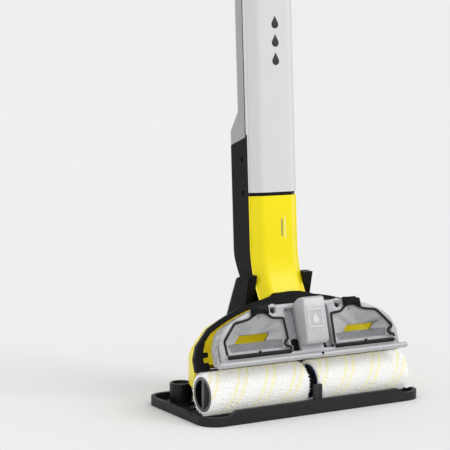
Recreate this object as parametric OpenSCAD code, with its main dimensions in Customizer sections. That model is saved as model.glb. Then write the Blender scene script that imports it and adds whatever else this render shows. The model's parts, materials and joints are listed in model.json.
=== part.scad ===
// Upright cordless wet floor scrubber standing in its cleaning station.
// Millimetres. X runs along the rollers, the front is towards -Y, Z is up.
// The origin is the middle of the station's flat underside.

/* [Station] */
// Width of the station tray along the rollers
tray_w = 319; // [315:1:330]
// Depth of the station tray
tray_d = 161; // [159:1:170]
// Radius of the tray corners
tray_corner = 24; // [18:1:30]
// Height of the side and back walls
wall_h = 11; // [10:0.5:12]
// Height of the raised front wall
front_wall_h = 17.5; // [14:0.5:19]
// Radius of each drying peg
peg_r = 14; // [11:0.5:14]
// Height of the drying pegs above the underside
peg_top = 30; // [24:1:31]

/* [Rollers] */
// Outer radius of the pile sleeve
pile_r = 24.5; // [23.5:0.1:24.6]
// Length of one roller
roller_len = 138.5; // [130:0.5:138.5]
// Gap between the two rollers at the drive leg
roller_gap = 13; // [13:0.5:16]

/* [Waste tank] */
// How far the tank face leans back from upright
tank_lean = 20.5; // [20.5:0.1:20.8]

/* [Column] */
// Backward lean of the parked column
column_lean = 3.13; // [2.5:0.01:3.5]
// Half width of the column
column_half = 33.4; // [33:0.1:33.6]
// Height of the column body above the tilt axis
column_top = 545; // [540:1:560]
// Height of the loop grip's top above the tilt axis
grip_top = 1073; // [1060:1:1090]

/* [Hidden] */
$fn = 72;
cut = 400;              // longer than anything that is cut

// Station
tray_floor = 3;
tray_wall = 5;
post_w = 11;
post_top = 35;
peg_at = [128, 42.5];
pad_top = 6.6;          // the rear wheels stand just above these pads

// Roller axis and the gear train behind it
roller_y = -42.5;
roller_z = 32.6;
core_r = 21;
core_bore = 18.8;
cap_face = 3;           // thickness of the end cap's flange
hub_bore = 4.3;
shaft_r = 4;
shaft_end = 62;
dog_r = 8;              // corner radius of the six sided drive dog
gear_module = 1;
hub_teeth = 24;
idler_teeth = 30;
pinion_teeth = 10;
gear_w = 4.5;
idler_angle = 12;
pinion_angle = 20;
function pitch_r(n) = gear_module * n / 2;
function polar(r, a) = [r * cos(a), r * sin(a)];
hub_at = [roller_y, roller_z];
idler_at = hub_at + polar(pitch_r(hub_teeth) + pitch_r(idler_teeth), idler_angle);
pinion_at = idler_at + polar(pitch_r(idler_teeth) + pitch_r(pinion_teeth), pinion_angle);
leg_half = 5;
leg_split = 3.2;        // the leg's cover starts here
run = 0.06;             // radial running clearance

// Tank bay, in the frame of the tank's face: x across, y up the face, z out of the bay
bay_y = -59.7;
bay_z = 90;
arc_drop = 191.7;       // the arches share one centre, this far below the face's origin
arch_ease = 3.5;        // depth the arches' outer corners are eased by
fall_from = -48.5;      // behind this the shell's shoulders drop
fall_steep = 19.5;
fall_flat = 10.8;
rim_front = -28;
rim_back = -36;
bay_back = -46;
liner_wall = 1.8;
window_top = 29;

// Head
plan_y = -52;           // centre of the head's round plan outline
plan_r = 148;
shell_wall = 2.6;
deck = [[-60, 36], [-60, 160], [-14, 160], [-11, 128.2], [-4, 124.7], [5, 122.8], [12, 95], [20, 78],
  [58, 67], [72, 54], [72, 36]];
roll_z = 88;
roll_pin_r = 5;
spray_at = [-16.8, 53];
wheel_at = [62, 50, 16];
wheel_r = 9;
axle_r = 2;

// Column, in its own frame: origin on the tilt axis, z up the column
pivot_y = 30;
pivot_z = 148;
pin_r = 5;
face_y = -16.4;
bevel = 11.4;
shell_t = 2.4;
sweep_r = 120;          // radius of the forward sweep at the foot of the front shell
sweep_z = 50;
foot_r = 33.5;          // the front shell's lower edge lies on this radius about the tilt axis
foot_low = -18;         // and ends at this height
drum_r = 31;
seam_low = 112;
seam_high = 116;
housing_y = 47;
housing_top = [188, 174.5];
tank_foot_gap = 0.5;
fresh_top = 400;
fresh_y = 33;
cap_at = [0, 19];
cell_r = 9.25;
tube_y = 8;
tube_r = 12.4;
loop_low = [10, 990];
loop_high = [18, grip_top - 32];

black = [0.16, 0.16, 0.17];
dark = [0.24, 0.24, 0.25];
yellow = [0.96, 0.89, 0.14];
silver = [0.88, 0.89, 0.9];
mid_grey = [0.68, 0.69, 0.7];
steel = [0.75, 0.76, 0.78];
pile_white = [0.95, 0.95, 0.93];
tank_grey = [0.75, 0.76, 0.79, 0.75];

// ---------------------------------------------------------------- shared shapes

module both_sides() {
  for (s = [0, 1]) mirror([s, 0, 0]) children();
}

// Plate with round corners, its corners drawn as true arcs
module round_rect(w, d, r) {
  union() {
    square([w - 2 * r, d], center = true);
    square([w, d - 2 * r], center = true);
    for (x = [-1, 1], y = [-1, 1])
      translate([x * (w / 2 - r), y * (d / 2 - r)]) circle(r);
  }
}

// Solid whose outline is drawn in the YZ plane and which runs along X from x0 to x1
module along_x(x0, x1) {
  translate([x0, 0, 0]) rotate([90, 0, 90]) linear_extrude(x1 - x0) children();
}

// Round bar along X, through the YZ point p
module rod_x(x0, x1, p, r) {
  translate([x0, p[0], p[1]]) rotate([0, 90, 0]) cylinder(h = x1 - x0, r = r);
}

// Round bar along Y from y0 to y1, through the XZ point p
module rod_y(y0, y1, p, r) {
  translate([p[0], y0, p[1]]) rotate([-90, 0, 0]) cylinder(h = y1 - y0, r = r);
}

module bay_frame() {
  translate([0, bay_y, bay_z]) rotate([90 - tank_lean, 0, 0]) children();
}

module column_frame() {
  translate([0, pivot_y, pivot_z]) rotate([-column_lean, 0, 0]) children();
}

// Arch shared by the rim, the liner, the shell and the tank: a flat arc with sloped shoulders
module arch(half, arc_r, shoulder, base, top) {
  intersection() {
    translate([0, -arc_drop]) circle(arc_r, $fn = 180);
    translate([-half, base]) square([2 * half, top - base]);
    rotate([0, 0, 45]) translate([-cut / 2, -cut / 2])
      square([cut / 2 + shoulder / sqrt(2), cut / 2 + shoulder / sqrt(2)]);
    both_cuts(half * cos(22.5) + (shoulder - half) * sin(22.5) - arch_ease);
  }
}

// Both corners between the upright sides and the shoulders are eased to this distance
module both_cuts(reach) {
  intersection() {
    rotate([0, 0, 22.5]) translate([-cut, -cut / 2]) square([cut + reach, cut]);
    rotate([0, 0, 157.5]) translate([-cut, -cut / 2]) square([cut + reach, cut]);
  }
}

// Spur gear along X with straight flanks and easy backlash
module gear(teeth, at, bore, x0, x1, phase = 0) {
  r = pitch_r(teeth);
  step = 360 / teeth;
  flank = [[r - 1.25 * gear_module, 0.33], [r, 0.2], [r + 0.85 * gear_module, 0.09]];
  outline = [for (i = [0 : teeth - 1], k = [0 : 5])
    let (f = k < 3 ? flank[k] : flank[5 - k], side = k < 3 ? -1 : 1)
    polar(f[0], phase + step * (i + side * f[1]))];
  difference() {
    translate([0, at[0], at[1]]) along_x(x0, x1) polygon(outline);
    rod_x(x0 - 1, x1 + 1, at, bore);
  }
}

// ---------------------------------------------------------------- station

module tray_wall_ring(h, extra = 0) {
  linear_extrude(h) difference() {
    round_rect(tray_w, tray_d, tray_corner);
    round_rect(tray_w - 2 * tray_wall, tray_d - 2 * tray_wall - extra, tray_corner - tray_wall);
  }
}

module station_tray() {
  rise = front_wall_h - wall_h;
  front_x = 118;
  color(dark) difference() {
    union() {
      linear_extrude(tray_floor) round_rect(tray_w, tray_d, tray_corner);
      tray_wall_ring(wall_h);
      intersection() {
        tray_wall_ring(front_wall_h, 2);
        translate([0, -tray_d / 2 + 9, 0]) rotate([90, 0, 0]) linear_extrude(10)
          polygon([[-front_x - 3 * rise, 0], [-front_x - 2 * rise, wall_h], [-front_x, front_wall_h],
            [front_x, front_wall_h], [front_x + 2 * rise, wall_h], [front_x + 3 * rise, 0]]);
      }
      translate([-post_w / 2, -tray_d / 2 + 4.6, 1]) cube([post_w, 5, post_top - 1]);
      translate([-post_w / 2 - 1, -tray_d / 2 + 0.6, 1]) cube([post_w + 2, 5, front_wall_h - 1]);
      both_sides() {
        translate([wheel_at[0] - 9, 34, 2]) cube([18, 32, pad_top - 2]);
        translate([peg_at[0], peg_at[1], 2]) cylinder(h = 4, r = peg_r + 3);
        translate([96, -70, 2]) cube([2.5, 140, 3]);
        translate([20, -70, 2]) cube([2.5, 140, 3]);
      }
      translate([-150, 4, 2]) cube([300, 2.5, 3]);
    }
    // the rollers slide off sideways over these low places in the side walls
    rod_x(-200, 200, [roller_y, roller_z], pile_r + 0.9);
    both_sides() {
      translate([peg_at[0], peg_at[1], tray_floor + 0.5]) cylinder(h = 20, r = peg_r);
      for (i = [0 : 2]) translate([131 - 8 * i, 64, -1]) cube([4, 9, 10]);
      for (y = [-62, 62]) translate([112, y, -1]) cylinder(h = 2.5, r = 7);
    }
  }
}

module station_pegs() {
  color(black) both_sides() translate([peg_at[0], peg_at[1], tray_floor + 0.5]) difference() {
    cylinder(h = peg_top - tray_floor - 0.5, r = peg_r);
    translate([0, 0, peg_top - tray_floor - 3.5]) cylinder(h = 5, r = peg_r - 3);
  }
}

module station_feet() {
  color(black) both_sides() for (y = [-62, 62]) translate([112, y, 0]) cylinder(h = 1.5, r = 7);
}

// ---------------------------------------------------------------- head

// Head's outline seen from above, cut off at the rear
module plan(r, rear, front) {
  intersection() {
    translate([0, plan_y]) circle(r, $fn = 180);
    translate([-200, front]) square([400, rear - front]);
  }
}

module head_chassis() {
  pan_h = 22;
  lug_top = roll_z + 9;
  color(black) difference() {
    union() {
      // floor pan
      difference() {
        translate([0, 0, 12]) linear_extrude(3) plan(140, 66, -19);
        rod_x(-141, 141, hub_at, 28);
      }
      translate([0, 0, 12]) linear_extrude(pan_h) difference() {
        plan(140, 66, -6);
        plan(137, 63, -7);
      }
      // splash guard behind the rollers
      intersection() {
        difference() {
          rod_x(-140, 140, hub_at, 30.5);
          rod_x(-141, 141, hub_at, 28);
        }
        along_x(-140, 140) polygon([[-22, 60], [-22, 40], [-20, 20], [-16, 12], [0, 12], [0, 60]]);
      }
      // end plates that carry the rim's feet
      both_sides() difference() {
        along_x(133, 138) polygon([[-34, 60], [-28, 67], [-12, 62], [-9, 50], [-9, 12.5], [-20, 12.5]]);
        rod_x(130, 150, hub_at, 28);
        bay_frame() translate([-160, -60, rim_back]) cube([320, 100, 60]);
        bay_frame() translate([-160, -12, -80]) cube([320, 60, 80]);
      }
      // bearing lugs of the roll pin
      for (y = [18, 55.5]) {
        rod_y(y, y + 5, [0, roll_z], 9);
        translate([-9, y, 14]) cube([18, 5, roll_z - 14]);
      }
      translate([-3, 22, 14]) cube([6, 34, 40]);
      both_sides() {
        translate([8, 55.5, 14]) cube([6, 8, 40]);
        // axle lugs
        for (x = [53, 68.2]) translate([x, 43, 14]) cube([2.8, 14, 8]);
        // motor cradle, right side only where the motor lies
        translate([40, -6, 14]) cube([3, 18, 17]);
        // screw towers
        translate([104, 10, 14]) cylinder(h = 20, r = 4);
      }
    }
    rod_y(10, 70, [0, roll_z], roll_pin_r);
    translate([-6, -30, 11]) cube([12, 48, 50]);
    rod_x(5.2, 60, pinion_at, 13.8);
    both_sides() {
      translate([56, 39, 11]) cube([12, 22, 5]);
      rod_x(50, 75, [wheel_at[1], wheel_at[2]], axle_r);
      translate([104, 10, 11]) cylinder(h = 30, r = 1.5);
    }
  }
}

module rim_face() {
  union() {
    arch(151, 254.5, 155, -21.5, 70);
    intersection() {
      translate([0, -34]) circle(100.5, $fn = 180);
      translate([-42, 40]) square([84, 40]);
    }
  }
}

module bay_rim() {
  color(black) bay_frame() translate([0, 0, rim_back]) linear_extrude(rim_front - rim_back) {
    difference() {
      rim_face();
      arch(139.4, 247.7, 146.5, -40, 48.5);
    }
    // feet, and the stops beside the tank
    both_sides() {
      translate([133, -21.5]) square([17, 10]);
      translate([122, -21.5]) square([14, 2]);
      translate([132, -5]) square([10, 6]);
    }
  }
}

module bay_liner() {
  color(yellow) bay_frame() difference() {
    translate([0, 0, bay_back - liner_wall]) linear_extrude(rim_back - bay_back + liner_wall)
      arch(141.4, 249.5, 149, -12, 50.5);
    translate([0, 0, bay_back]) linear_extrude(60) arch(139.4, 247.7, 146.5, -13, 48.5);
    translate([-8, -20, -60]) cube([16, 16, 60]);
  }
}

module shell_solid(t) {
  half = 148 - t;
  shoulder = 153 - 1.4 * t;
  difference() {
    intersection() {
      bay_frame() translate([0, 0, -170]) linear_extrude(170 + rim_back + (t > 0 ? 1 : 0))
        arch(half, 253 - t, shoulder, -70, 66 - t);
      translate([0, 0, 30]) linear_extrude(150) plan(plan_r - t, 72 - t, -70);
      along_x(-160, 160) translate([0, -t]) polygon(deck);
    }
    // behind the bay the shoulders fall away to the rear
    bay_frame() both_sides() translate([0, 0, fall_from]) {
      fall(45, fall_steep, shoulder / sqrt(2));
      fall(22.5, fall_flat, half * cos(22.5) + (shoulder - half) * sin(22.5) - arch_ease);
    }
  }
}

// Block outside a sloped plane that stands reach from the centre at its start
module fall(turn, lean, reach) {
  rotate([0, lean, turn]) translate([reach * cos(lean), -300, -300]) cube([300, 600, 600]);
}

module head_shell() {
  color(yellow) difference() {
    shell_solid(0);
    shell_solid(shell_wall);
    // room for the bay liner, and the saddle for the yoke's hub
    bay_frame() translate([0, 0, bay_back - 2.5]) linear_extrude(80) arch(141.9, 250, 149.6, -60, 51);
    translate([-22, 15, 40]) cube([44, 48, 60]);
    translate([-160, -60, 20]) cube([320, 140, 16]);
    rod_x(-160, 160, hub_at, 28);
  }
}

module drive_leg_outline(grow) {
  r_hub = 15 + grow;
  union() {
    translate(hub_at) circle(r_hub);
    translate(idler_at) circle(17.9 + grow);
    translate(pinion_at) circle(8.5 + grow);
    translate(hub_at) rotate([0, 0, idler_angle]) translate([0, -r_hub + 2]) square([27, 2 * r_hub - 4]);
    translate(idler_at) rotate([0, 0, pinion_angle]) translate([0, -8.5 - grow])
      square([20, 17 + 2 * grow]);
  }
}

module drive_leg() {
  wall = 1.5;
  color(black) difference() {
    along_x(-leg_half, leg_split) drive_leg_outline(0);
    along_x(-leg_half + wall, leg_split + 1) drive_leg_outline(-1.5);
    rod_x(-10, 10, hub_at, shaft_r + run);
    rod_x(-10, 10, idler_at, axle_r);
  }
}

module drive_leg_cover() {
  color(black) difference() {
    along_x(leg_split, leg_half) drive_leg_outline(0);
    rod_x(-10, 10, hub_at, shaft_r + run);
    rod_x(-10, 10, idler_at, axle_r);
    rod_x(-10, 10, pinion_at, 2.2);
  }
}

module drive_motor() {
  color(steel) difference() {
    union() {
      rod_x(leg_half + 0.2, 52, pinion_at, 13.5);
      rod_x(52, 56, pinion_at, 5);
    }
    rod_x(0, 34, pinion_at, 1.66);
  }
}

module spray_bars() {
  color(dark) both_sides() {
    rod_x(9, 122, spray_at, 2.3);
    for (i = [0 : 4]) translate([20 + 24 * i, spray_at[0], spray_at[1]]) rotate([70, 0, 0])
      cylinder(h = 3.2, r = 1.1);
  }
}

module head_screws() {
  color(steel) both_sides() translate([104, 10, 9.6]) {
    cylinder(h = 2.4, r = 3);
    cylinder(h = 20, r = 1.5);
  }
}

module roll_pin() {
  color(steel) rod_y(18, 60.5, [0, roll_z], roll_pin_r);
}

module wheel_axles() {
  color(steel) both_sides() rod_x(53, 71, [wheel_at[1], wheel_at[2]], axle_r);
}

module idler_pin() {
  color(steel) rod_x(-leg_half, leg_half, idler_at, axle_r);
}

module rear_wheel() {
  color(dark) difference() {
    union() {
      rod_x(wheel_at[0] - 5, wheel_at[0] + 5, [wheel_at[1], wheel_at[2]], wheel_r - 1);
      rod_x(wheel_at[0] - 3.5, wheel_at[0] + 3.5, [wheel_at[1], wheel_at[2]], wheel_r);
    }
    rod_x(50, 75, [wheel_at[1], wheel_at[2]], axle_r + run);
  }
}

module rear_wheel_left() { mirror([1, 0, 0]) rear_wheel(); }

module rear_wheel_right() { rear_wheel(); }

// ---------------------------------------------------------------- drive and rollers

module drive_shaft() {
  color(steel) {
    rod_x(-shaft_end, shaft_end, hub_at, shaft_r);
    both_sides() translate([roller_gap / 2 + 0.6, roller_y, roller_z]) rotate([0, 90, 0])
      cylinder(h = 8, r = dog_r, $fn = 6);
  }
}

module hub_gear() {
  color(steel) gear(hub_teeth, hub_at, shaft_r, -gear_w / 2, gear_w / 2, idler_angle);
}

module idler_gear() {
  color(mid_grey) gear(idler_teeth, idler_at, axle_r + run, -gear_w / 2, gear_w / 2,
    idler_angle + 180 + 180 / idler_teeth);
}

module motor_pinion() {
  // the idler's tooth pattern fixes where the pinion's gaps have to be
  idler_phase = idler_angle + 180 + 180 / idler_teeth;
  lead = (pinion_angle - idler_phase) / (360 / idler_teeth);
  off = lead - floor(lead);
  color(steel) {
    gear(pinion_teeth, pinion_at, 1.6, -gear_w / 2, gear_w / 2,
      pinion_angle + 180 + (0.5 + off) * 360 / pinion_teeth);
    rod_x(-3, 30, pinion_at, 1.6);
  }
}

module roller_core() {
  x0 = roller_gap / 2 + cap_face;
  x1 = roller_gap / 2 + roller_len - cap_face;
  color(dark) difference() {
    rod_x(x0, x1, hub_at, core_r);
    rod_x(x0 - 1, 26, hub_at, core_bore);
    rod_x(66, x1 + 1, hub_at, core_bore);
    difference() {
      rod_x(29, 63, hub_at, core_bore);
      rod_x(28, 64, hub_at, 8);
    }
    rod_x(0, 64, hub_at, hub_bore);
  }
}

module roller_sleeve() {
  x0 = roller_gap / 2;
  color(pile_white) difference() {
    rod_x(x0, x0 + roller_len, hub_at, pile_r);
    rod_x(x0 - 1, x0 + roller_len + 1, hub_at, core_r);
  }
}

module roller_end_cap() {
  x1 = roller_gap / 2 + roller_len;
  well = 12;
  color(mid_grey) {
    difference() {
      union() {
        rod_x(x1 - cap_face, x1, hub_at, core_r);
        rod_x(x1 - well - 2.5, x1 - cap_face, hub_at, core_bore);
      }
      rod_x(x1 - well, x1 + 1, hub_at, 17.2);
    }
    difference() {
      translate([x1 - well, roller_y - 2.4, roller_z - 18]) cube([well - 0.6, 4.8, 36]);
      for (z = [-13.5, 13.5]) rod_x(x1 - 3, x1 + 1, [roller_y, roller_z + z], 1);
    }
  }
}

module roller_drive_ring() {
  x0 = roller_gap / 2;
  color([0.1, 0.16, 0.45]) difference() {
    union() {
      rod_x(x0, x0 + cap_face, hub_at, core_r);
      rod_x(x0 + cap_face, x0 + 12, hub_at, core_bore);
    }
    translate([x0 - 1, roller_y, roller_z]) rotate([0, 90, 0]) cylinder(h = 14, r = dog_r + 0.5, $fn = 6);
  }
}

module roller_core_left() { mirror([1, 0, 0]) roller_core(); }

module roller_core_right() { roller_core(); }

module roller_sleeve_left() { mirror([1, 0, 0]) roller_sleeve(); }

module roller_sleeve_right() { roller_sleeve(); }

module roller_end_cap_left() { mirror([1, 0, 0]) roller_end_cap(); }

module roller_end_cap_right() { roller_end_cap(); }

module roller_drive_ring_left() { mirror([1, 0, 0]) roller_drive_ring(); }

module roller_drive_ring_right() { roller_drive_ring(); }

// ---------------------------------------------------------------- waste tank

// Window outline for the right side; grow moves every edge outwards
module window_2d(grow) {
  offset(delta = grow) polygon([[34, -9], [36.5, window_top - 1], [50, window_top], [57, 34],
    [62, 36.5], [71, 36.5], [76, 33.5], [84, window_top], [103.4, window_top], [121.6, 9.4], [120.3, -9]]);
}

// Intake slit behind each window; both slits lean to the right
module slit_2d(side) {
  polygon(side == 0 ? [[57, 5], [66, 15], [110, 15], [101, 5]] : [[101, 5], [92, 15], [48, 15], [57, 5]]);
}

module waste_tank_tub() {
  color(tank_grey) bay_frame() difference() {
    union() {
      translate([0, 0, -22]) linear_extrude(22) arch(131, 246.3, 142, -19, 46);
      translate([0, 0, -6]) linear_extrude(6) arch(131, 246.3, 142, -22, 46);
      translate([-138, -25, 0]) cube([276, 7, 7]);
      translate([-138, -22, -3]) cube([276, 4, 3]);
    }
    for (side = [0, 1]) mirror([side, 0, 0]) {
      translate([0, 0, -20]) linear_extrude(30) window_2d(0);
      translate([0, 0, -30]) linear_extrude(20) slit_2d(side);
      translate([47.6, 39, -30]) cylinder(h = 40, r = 3.3);
      translate([47.6, 42, -30]) cylinder(h = 40, r = 3.3);
      translate([44.3, 39, -30]) cube([6.6, 3, 40]);
      translate([55, 44.1, -9]) cube([23.4, 20, 20]);
      translate([16, -13, -9]) cube([15.5, 53, 10]);
    }
    // well behind the grip
    translate([-17, -14, -20]) cube([34, 54, 21]);
  }
}

module window_cover(side) {
  color(tank_grey) bay_frame() mirror([side, 0, 0]) difference() {
    union() {
      translate([0, 0, -4]) linear_extrude(2.2) window_2d(-0.4);
      translate([45, 3, -19.6]) cube([67.5, 14, 15.7]);
      translate([65.6, 31, -1.9]) cylinder(h = 1.6, r = 3);
    }
    translate([0, 0, -30]) linear_extrude(40) slit_2d(side);
  }
}

module window_cover_left() { window_cover(1); }

module window_cover_right() { window_cover(0); }

module window_gasket(side) {
  color(black) bay_frame() mirror([side, 0, 0]) linear_extrude(1.4) difference() {
    window_2d(2);
    window_2d(-0.8);
    translate([30, -20]) square([100, 11.5]);
  }
}

module window_gasket_left() { window_gasket(1); }

module window_gasket_right() { window_gasket(0); }

module wiper_bar(side) {
  color(black) bay_frame() mirror([side, 0, 0]) {
    translate([33, -15.2, 0.02]) cube([88, 5.7, 3.2]);
    translate([33, -13, 3]) rotate([0, 90, 0]) cylinder(h = 88, r = 2.2);
  }
}

module wiper_bar_left() { wiper_bar(1); }

module wiper_bar_right() { wiper_bar(0); }

module cover_latch(side) {
  color(dark) bay_frame() mirror([side, 0, 0]) {
    translate([0, 0, 1.5]) linear_extrude(3) difference() {
      translate([55.5, 31.5]) square([25, 16.1]);
      window_2d(1.2);
    }
    // arm and hinge barrel
    translate([56, 44.7, -4.1]) cube([21.4, 2.8, 5.8]);
    translate([56, 46.1, -4.1]) rotate([0, 90, 0]) cylinder(h = 21.4, r = 1.4);
  }
}

module cover_latch_left() { cover_latch(1); }

module cover_latch_right() { cover_latch(0); }

module tank_grip() {
  color(tank_grey) bay_frame() difference() {
    along_x(-17.5, 17.5) polygon([[-8, 0.02], [-8, 10], [-5, 14.5], [-1, 16], [46, 21.5], [49, 19], [49, 10],
      [46, 0.02]]);
    along_x(-15.3, 15.3) polygon([[-6, -1], [-6, 9.5], [-4, 12.6], [-1, 13.8], [44, 19.2], [46.8, 17.5],
      [46.8, 12], [44, -1]]);
    difference() {
      translate([-10, 8, 18.4]) rotate([6.7, 0, 0]) cube([20, 24, 3]);
      translate([-9.2, 8.8, 15]) cube([18.4, 22.4, 8]);
    }
  }
}

// ---------------------------------------------------------------- yoke

module yoke() {
  rear_low = [66, 99];
  rear_lean = 25.6;
  color(black) difference() {
    union() {
      rod_y(23.3, 55.2, [0, roll_z], 13);
      // arms that rise to the cheeks
      translate([0, 50, 0]) rotate([90, 0, 0]) linear_extrude(24)
        polygon([[-12, 97], [-36, 121], [-48, 128], [-48, 113], [-13, 82], [13, 82], [48, 113], [48, 128],
          [36, 121], [12, 97]]);
      // cheeks, their rear edges bevelled
      both_sides() intersection() {
        along_x(35.6, 48) polygon([[10.3, 161.4], [24.4, 162], [40, 156], [52, 153], [79, 98], [58, 102],
          [24, 113], [21.4, 115.5], [15.8, 137]]);
        translate([0, rear_low[0], rear_low[1]]) rotate([rear_lean, 0, 0]) translate([0, 0, -60])
          linear_extrude(160) polygon([[30, -90], [48, -90], [48, 0.7], [42, 10.7], [30, 10.7]]);
      }
      // trough below the column's joint drum
      intersection() {
        difference() {
          rod_x(-36, 36, [pivot_y, pivot_z], 36);
          rod_x(-37, 37, [pivot_y, pivot_z], 33);
        }
        along_x(-36, 36) polygon([[9.5, 108], [9.5, 124], [46, 124], [46, 108]]);
      }
    }
    rod_x(-35.6, 35.6, [pivot_y, pivot_z], 33);
    rod_y(20, 60.5, [0, roll_z], roll_pin_r + run);
    rod_x(-46.5, 46.5, [pivot_y, pivot_z], pin_r);
    translate([-20, 55.2, 60]) cube([40, 10, 42]);
    translate([-20, 10, 60]) cube([40, 13.3, 42]);
  }
}

module tilt_pins() {
  color(steel) both_sides() {
    rod_x(14, 46.5, [pivot_y, pivot_z], pin_r);
  }
}

// ---------------------------------------------------------------- column

// Section of the front shell: flat face, two bevels and short side returns back to y = back
module front_section(t, back) {
  k = 0.414 * t;
  polygon([[-column_half + t, back], [-column_half + t, face_y + bevel + k], [-22 + k, face_y + t],
    [22 - k, face_y + t], [column_half - t, face_y + bevel + k], [column_half - t, back]]);
}

module front_ring(t, inset, back) {
  difference() {
    front_section(inset, back);
    front_section(inset + t, back + 1);
  }
}

module lower_front_shell() {
  axis_y = face_y - sweep_r;
  angle = asin((sweep_z + 12) / sweep_r);
  color(yellow) column_frame() difference() {
    union() {
      translate([0, 0, sweep_z - 0.05]) linear_extrude(seam_low - sweep_z - 0.15)
        front_ring(shell_t, 0, -4.9);
      translate([0, axis_y, sweep_z]) rotate([0, 90, 0]) rotate([0, 0, 90 - angle])
        rotate_extrude(angle = angle, $fn = 180) rotate([0, 0, -90])
          translate([0, -axis_y]) front_ring(shell_t, 0, -4.9);
    }
    difference() {
      rod_x(-50, 50, [0, 0], 120);
      rod_x(-51, 51, [0, 0], foot_r);
      translate([-60, -130, 0]) cube([120, 260, 200]);
    }
    translate([-60, -60, foot_low - 50]) cube([120, 120, 50]);
  }
}

module seam_band() {
  color(black) column_frame() translate([0, 0, seam_low]) linear_extrude(seam_high - seam_low)
    front_ring(shell_t, 0.5, -4.7);
}

module upper_front_shell() {
  color(silver) column_frame() {
    translate([0, 0, seam_high + 0.2]) linear_extrude(column_top - seam_high - 0.2)
      front_ring(shell_t, 0, -4.9);
    // side returns above the rear housing
    both_sides() translate([column_half - shell_t, -5, housing_top[0] + 1.5])
      cube([shell_t, 7.4, column_top - housing_top[0] - 1.5]);
  }
}

// Plan of a box like rear piece, from the front line to the rounded rear
module rear_plan(half, front, rear, r) {
  union() {
    translate([-half, front]) square([2 * half, rear - r - front]);
    translate([-half + r, front]) square([2 * half - 2 * r, rear - front]);
    for (s = [-1, 1]) translate([s * (half - r), rear - r]) circle(r);
  }
}

module housing_solid(t) {
  rear_r = 135;
  top_slope = (housing_top[0] - housing_top[1]) / (housing_y + 5);
  difference() {
    intersection() {
      linear_extrude(200) rear_plan(column_half - t, -4.6 + t, housing_y - t, 10 - t / 2);
      along_x(-40, 40) polygon([[-40, -2], [60, -2], [60, housing_top[1] - 13 * top_slope - 2 * t],
        [-5, housing_top[0] - 2 * t], [-40, housing_top[0] - 2 * t]]);
      union() {
        translate([-50, -50, 80]) cube([100, 200, 200]);
        rod_x(-50, 50, [housing_y - rear_r, 80], rear_r - t);
      }
    }
    // behind the swept front shell
    intersection() {
      rod_x(-50, 50, [face_y - sweep_r, sweep_z], sweep_r + bevel + 0.4 + t);
      translate([-60, -300, -20]) cube([120, 400, 20 + sweep_z]);
    }
  }
}

module lower_rear_housing() {
  color(black) column_frame() difference() {
    union() {
      difference() {
        housing_solid(0);
        housing_solid(shell_t);
        // open foot over the knuckle
        translate([-31, -30, -20]) cube([62, 58, 30.5]);
        rod_x(-31, 31, [0, 0], 14);
      }
      // drum that closes the foot of the column
      intersection() {
        difference() {
          rod_x(-31.6, 31.6, [0, 0], drum_r);
          rod_x(-33, 33, [0, 0], drum_r - shell_t);
        }
        along_x(-35, 35) polygon([[-40, foot_low - 0.5], [-40, -40], [40, -40], [40, 11], [12, 11],
          [0, foot_low - 0.5]]);
      }
      // screw bosses
      both_sides() for (z = [115.8, 157.7]) rod_x(26, 32, [12, z], 5);
    }
    both_sides() for (z = [115.8, 157.7]) {
      rod_x(29, 40, [12, z], 3.2);
      rod_x(20, 40, [12, z], 1.5);
    }
    translate([-25.5, -6, 60]) cube([51, 12.2, 200]);
    rod_x(-40, 40, [0, 0], pin_r + 0.5);
  }
}

module column_spine() {
  color(dark) column_frame() difference() {
    union() {
      rod_x(-30.4, 30.4, [0, 0], 13.5);
      translate([-15, -2, 8]) cube([30, 8, 60]);
      translate([-25, 1, 30]) cube([50, 3.4, 165]);
      translate([-33, 2.6, 190]) cube([66, 2, column_top - 190]);
      // top plate and collar for the handle tube
      translate([0, 0, column_top]) linear_extrude(2.4)
        union() {
          front_section(0, tube_y);
          rear_plan(column_half, -4, fresh_y, 12);
        }
      translate([0, tube_y, column_top + 2]) cylinder(h = 26, r = 17);
    }
    rod_x(-40, 40, [0, 0], pin_r + run);
    translate([0, tube_y, 510]) cylinder(h = 80, r = tube_r);
    rod_y(-10, 10, [0, 200], 5.4);
    rod_y(-10, 10, [0, 86.5], 3.2);
    translate([-5, -5, 15]) cube([10, 4.5, 60]);
  }
}

module fresh_solid(t) {
  union() {
    translate([0, 0, 170]) linear_extrude(fresh_top - 170 - t) rear_plan(31 - t, 5 + t, fresh_y - t, 12 - t);
    translate([0, 0, 170]) linear_extrude(25) rear_plan(33.2 - t, 5 + t, housing_y - t, 10 - t);
    hull($fn = 32) {
      translate([0, 0, 195]) linear_extrude(0.1) rear_plan(33.2 - t, 5 + t, housing_y - t, 10 - t, $fn = 32);
      translate([0, 0, 219]) linear_extrude(0.1) rear_plan(31 - t, 5 + t, fresh_y - t, 12 - t, $fn = 32);
    }
  }
}

module tank_foot_cut(lift) {
  slope = (housing_top[0] - housing_top[1]) / (housing_y + 5);
  along_x(-50, 50) polygon([[-10, 100], [80, 100], [80, housing_top[0] - 85 * slope + lift],
    [-10, housing_top[0] + 5 * slope + lift]]);
}

module fresh_tank() {
  wall = 2;
  color([0.66, 0.67, 0.69, 0.8]) column_frame() difference() {
    union() {
      difference() {
        fresh_solid(0);
        tank_foot_cut(tank_foot_gap);
        difference() {
          fresh_solid(wall);
          tank_foot_cut(tank_foot_gap + wall);
        }
      }
      rod_y(1.5, 6, [0, 200], 5);
      translate([cap_at[0], cap_at[1], fresh_top - 4]) cylinder(h = 6, r = 12);
    }
    rod_y(0, 10, [0, 200], 3);
    translate([cap_at[0], cap_at[1], fresh_top - 6]) cylinder(h = 12, r = 10);
  }
}

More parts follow.
